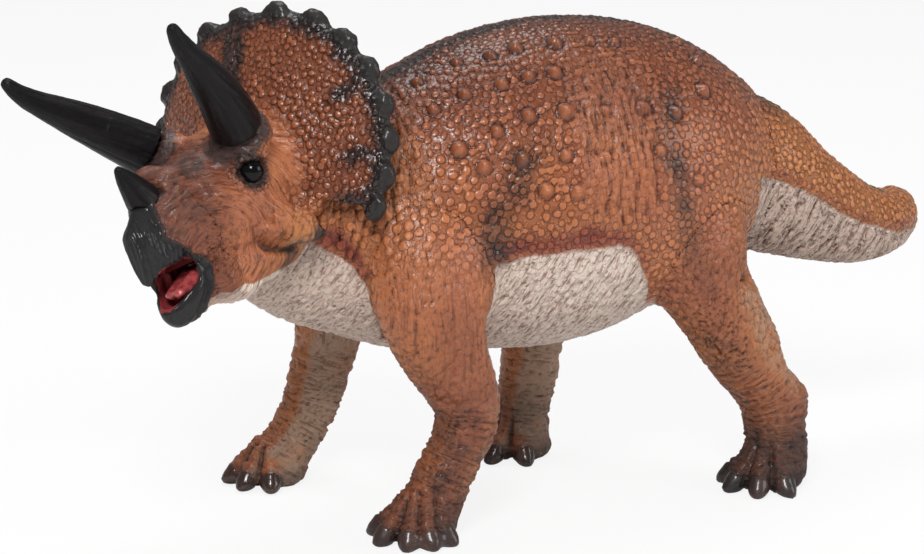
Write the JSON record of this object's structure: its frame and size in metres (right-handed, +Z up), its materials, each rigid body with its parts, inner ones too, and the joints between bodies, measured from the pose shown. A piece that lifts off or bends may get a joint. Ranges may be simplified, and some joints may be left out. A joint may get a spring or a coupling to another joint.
{
  "type": "toy dinosaur figure",
  "caption": "Standing horned dinosaur play figure in painted soft plastic: neck frill, two brow horns and a nose horn, open beaked mouth, four striding legs and a tail curled at its tip.",
  "frame": {"origin": "the middle of the figure's bounding box, on the floor that its four soles stand on", "axes": "+Z up, +X toward the tail along the longest extent, so the body faces -X; +Y is the animal's right side"},
  "size_m": [0.1922, 0.0602, 0.0991],
  "materials": {
    "skin": "orange-brown painted soft vinyl with a satin sheen, cream belly and dark stripes",
    "horn": "near-black painted soft vinyl, satin",
    "mouth": "red paint with a wet gloss",
    "eye": "black high-gloss bead"
  },
  "bodies": {
    "root": {"torso": "skin", "tail": "skin", "foreleg_left": "skin", "foreleg_right": "skin", "hindleg_left": "skin", "hindleg_right": "skin", "head": "skin", "upper_beak": "horn", "lower_jaw": "horn", "tongue": "mouth", "brow_horn_left": "horn", "brow_horn_right": "horn", "nose_horn": "horn", "eye_left": "eye", "eye_right": "eye"}
  },
  "joints": []
}
